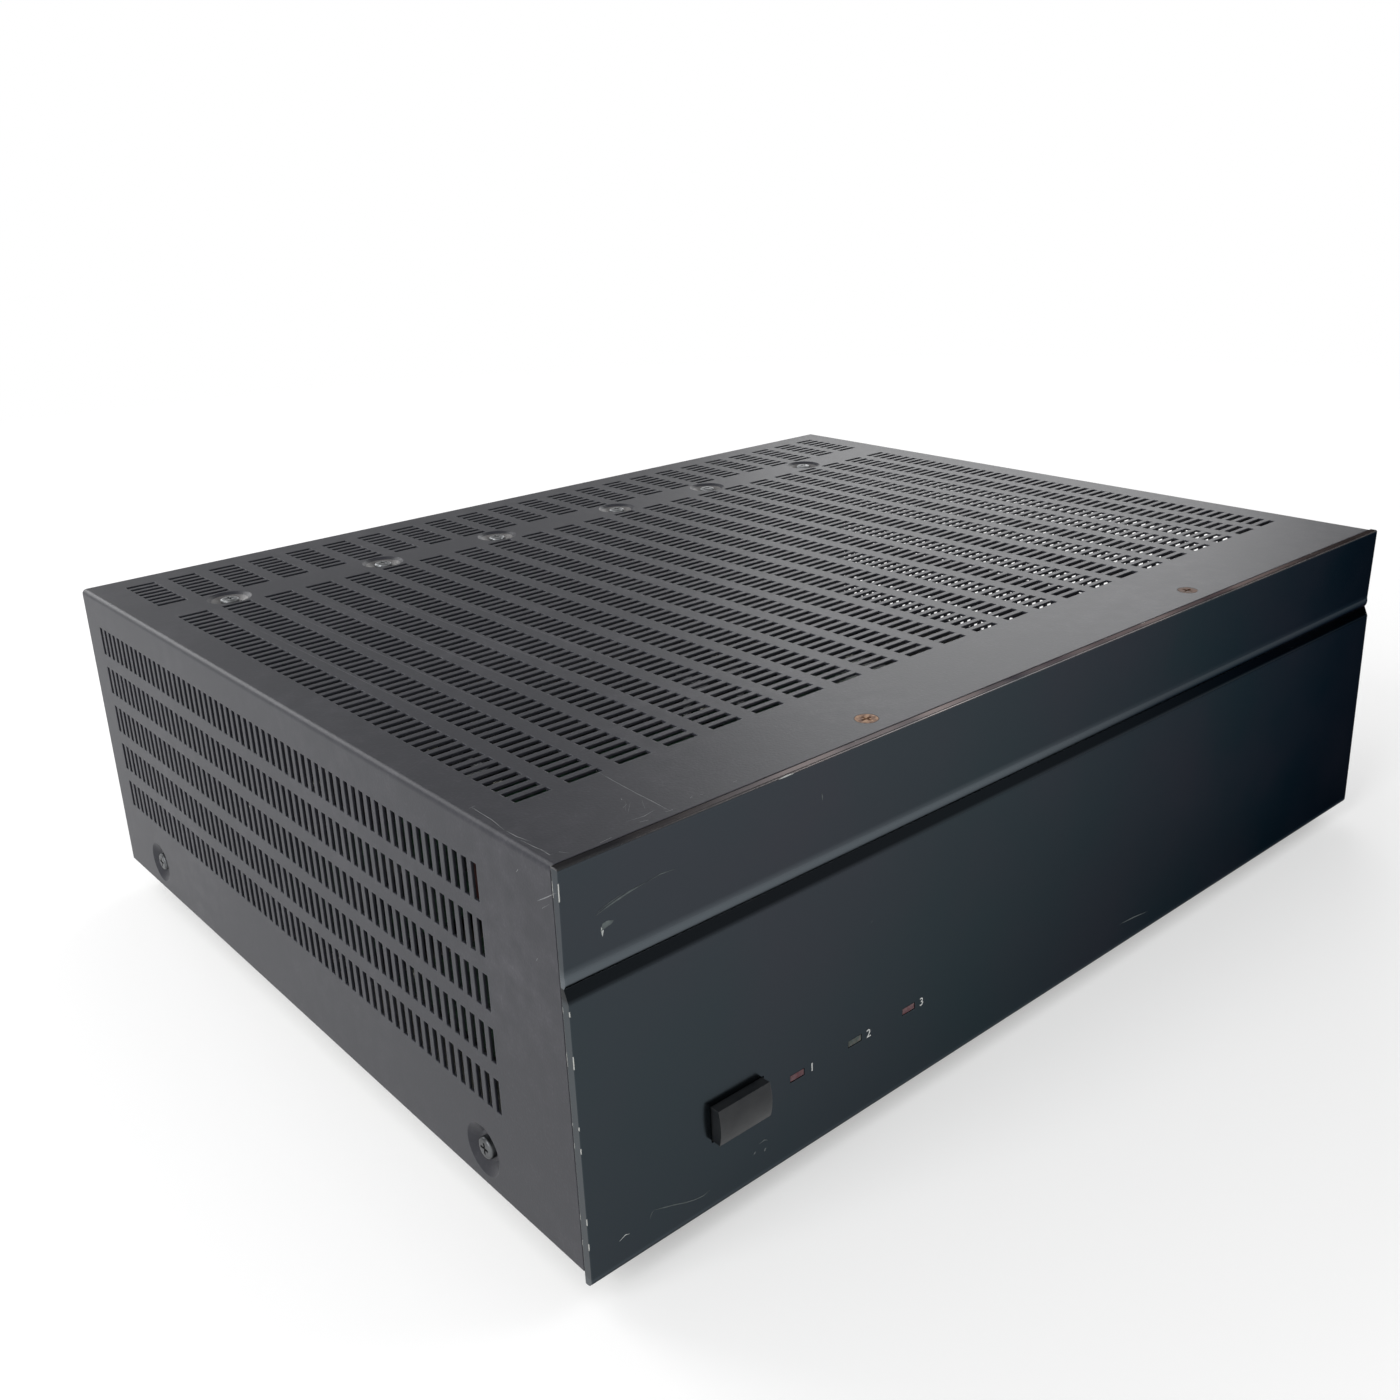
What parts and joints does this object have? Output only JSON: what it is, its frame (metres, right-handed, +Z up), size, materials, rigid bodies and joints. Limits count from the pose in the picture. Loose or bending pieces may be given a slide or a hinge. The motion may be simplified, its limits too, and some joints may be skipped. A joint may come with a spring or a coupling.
{
  "type": "multichannel power amplifier",
  "caption": "Rack-height power amplifier: folded vented steel cover, grooved front panel with power button and lamps, rear panel with jacks, level knobs and speaker headers.",
  "frame": {"origin": "on the floor, under the centre of the bounding box", "axes": "+X to the right seen from the front, +Y to the rear, +Z up"},
  "size_m": [0.44, 0.3676, 0.1405],
  "materials": {
    "cover_paint": "powder coated, fine texture",
    "panel_anodised": "black anodised, satin",
    "chassis_steel": "zinc plated",
    "rear_paint": "powder coated",
    "heatsink_aluminium": "extruded, clear anodised",
    "button_plastic": "fine texture",
    "knob_plastic": "moulded",
    "black_plastic": "moulded",
    "header_plastic": "moulded",
    "lamp_red": "tinted, unlit",
    "lamp_green": "tinted, unlit",
    "circuit_board": "solder mask",
    "transformer_windings": "film wrapped",
    "foam_rubber": "matt",
    "plated_steel": "plated",
    "cover_screw_steel": "blackened, worn",
    "sunk_screw_steel": "rusty",
    "capacitor_sleeve": "sleeved cans",
    "rectifier_plastic": "moulded",
    "jack_plating": "nickel plated",
    "foot_rubber": "matt",
    "cable_sheath": "matt"
  },
  "bodies": {
    "chassis": {"top_cover": "cover_paint", "base_chassis": "chassis_steel", "front_panel": "panel_anodised", "front_subpanel": "chassis_steel", "rear_panel": "rear_paint", "mains_switch": "black_plastic", "led_board": "circuit_board", "led_power": "lamp_red", "led_active": "lamp_green", "led_protect": "lamp_red", "transformer": "transformer_windings", "transformer_pads": "foam_rubber", "transformer_washer": "plated_steel", "transformer_bolt": "plated_steel", "power_board": "circuit_board", "filter_capacitors": "capacitor_sleeve", "bridge_rectifiers": "rectifier_plastic", "heatsink_left": "heatsink_aluminium", "heatsink_middle": "heatsink_aluminium", "heatsink_right": "heatsink_aluminium", "amp_board_left": "circuit_board", "amp_board_middle": "circuit_board", "amp_board_right": "circuit_board", "output_chips": "black_plastic", "protection_relays": "black_plastic", "jack_board": "circuit_board", "rca_jack_bodies": "black_plastic", "rca_jack_barrels": "jack_plating", "speaker_headers": "header_plastic", "speaker_header_pins": "jack_plating", "level_pots": "black_plastic", "trigger_jacks": "black_plastic", "mode_switch_body": "black_plastic", "mains_inlet": "black_plastic", "mains_inlet_pins": "jack_plating", "feet": "foot_rubber", "foot_screws": "plated_steel", "heatsink_screws": "cover_screw_steel", "side_screws": "cover_screw_steel", "front_top_screws": "sunk_screw_steel", "chassis_screws": "plated_steel", "board_standoffs": "plated_steel", "board_screws": "plated_steel", "mains_harness": "cable_sheath", "power_harness": "cable_sheath", "signal_harness": "cable_sheath"},
    "power_button": {"power_button": "button_plastic"},
    "mode_switch_slider": {"mode_switch_slider": "black_plastic"},
    "level_knob_01": {"level_knob_01": "knob_plastic"},
    "level_knob_02": {"level_knob_02": "knob_plastic"},
    "level_knob_03": {"level_knob_03": "knob_plastic"},
    "level_knob_04": {"level_knob_04": "knob_plastic"},
    "level_knob_05": {"level_knob_05": "knob_plastic"},
    "level_knob_06": {"level_knob_06": "knob_plastic"},
    "level_knob_07": {"level_knob_07": "knob_plastic"},
    "level_knob_08": {"level_knob_08": "knob_plastic"},
    "level_knob_09": {"level_knob_09": "knob_plastic"},
    "level_knob_10": {"level_knob_10": "knob_plastic"},
    "level_knob_11": {"level_knob_11": "knob_plastic"},
    "level_knob_12": {"level_knob_12": "knob_plastic"}
  },
  "joints": [
    {"name": "power_press", "type": "slide", "parent": "chassis", "child": "power_button", "axis": [0, 1, 0], "range_m": [0, 0.003], "stiffness_N_per_m": 500, "springref_m": -0.001},
    {"name": "level_knob_01_turn", "type": "hinge", "parent": "chassis", "child": "level_knob_01", "pos_m": [-0.195, 0.17375, 0.072], "axis": [0, 1, 0], "range_deg": [-150, 150]},
    {"name": "level_knob_02_turn", "type": "hinge", "parent": "chassis", "child": "level_knob_02", "pos_m": [-0.177, 0.17375, 0.072], "axis": [0, 1, 0], "range_deg": [-150, 150]},
    {"name": "level_knob_03_turn", "type": "hinge", "parent": "chassis", "child": "level_knob_03", "pos_m": [-0.143, 0.17375, 0.072], "axis": [0, 1, 0], "range_deg": [-150, 150]},
    {"name": "level_knob_04_turn", "type": "hinge", "parent": "chassis", "child": "level_knob_04", "pos_m": [-0.125, 0.17375, 0.072], "axis": [0, 1, 0], "range_deg": [-150, 150]},
    {"name": "level_knob_05_turn", "type": "hinge", "parent": "chassis", "child": "level_knob_05", "pos_m": [-0.091, 0.17375, 0.072], "axis": [0, 1, 0], "range_deg": [-150, 150]},
    {"name": "level_knob_06_turn", "type": "hinge", "parent": "chassis", "child": "level_knob_06", "pos_m": [-0.073, 0.17375, 0.072], "axis": [0, 1, 0], "range_deg": [-150, 150]},
    {"name": "level_knob_07_turn", "type": "hinge", "parent": "chassis", "child": "level_knob_07", "pos_m": [-0.039, 0.17375, 0.072], "axis": [0, 1, 0], "range_deg": [-150, 150]},
    {"name": "level_knob_08_turn", "type": "hinge", "parent": "chassis", "child": "level_knob_08", "pos_m": [-0.021, 0.17375, 0.072], "axis": [0, 1, 0], "range_deg": [-150, 150]},
    {"name": "level_knob_09_turn", "type": "hinge", "parent": "chassis", "child": "level_knob_09", "pos_m": [0.013, 0.17375, 0.072], "axis": [0, 1, 0], "range_deg": [-150, 150]},
    {"name": "level_knob_10_turn", "type": "hinge", "parent": "chassis", "child": "level_knob_10", "pos_m": [0.031, 0.17375, 0.072], "axis": [0, 1, 0], "range_deg": [-150, 150]},
    {"name": "level_knob_11_turn", "type": "hinge", "parent": "chassis", "child": "level_knob_11", "pos_m": [0.065, 0.17375, 0.072], "axis": [0, 1, 0], "range_deg": [-150, 150]},
    {"name": "level_knob_12_turn", "type": "hinge", "parent": "chassis", "child": "level_knob_12", "pos_m": [0.083, 0.17375, 0.072], "axis": [0, 1, 0], "range_deg": [-150, 150]},
    {"name": "mode_slide", "type": "slide", "parent": "chassis", "child": "mode_switch_slider", "axis": [1, 0, 0], "range_m": [-0.003, 0.003]}
  ]
}
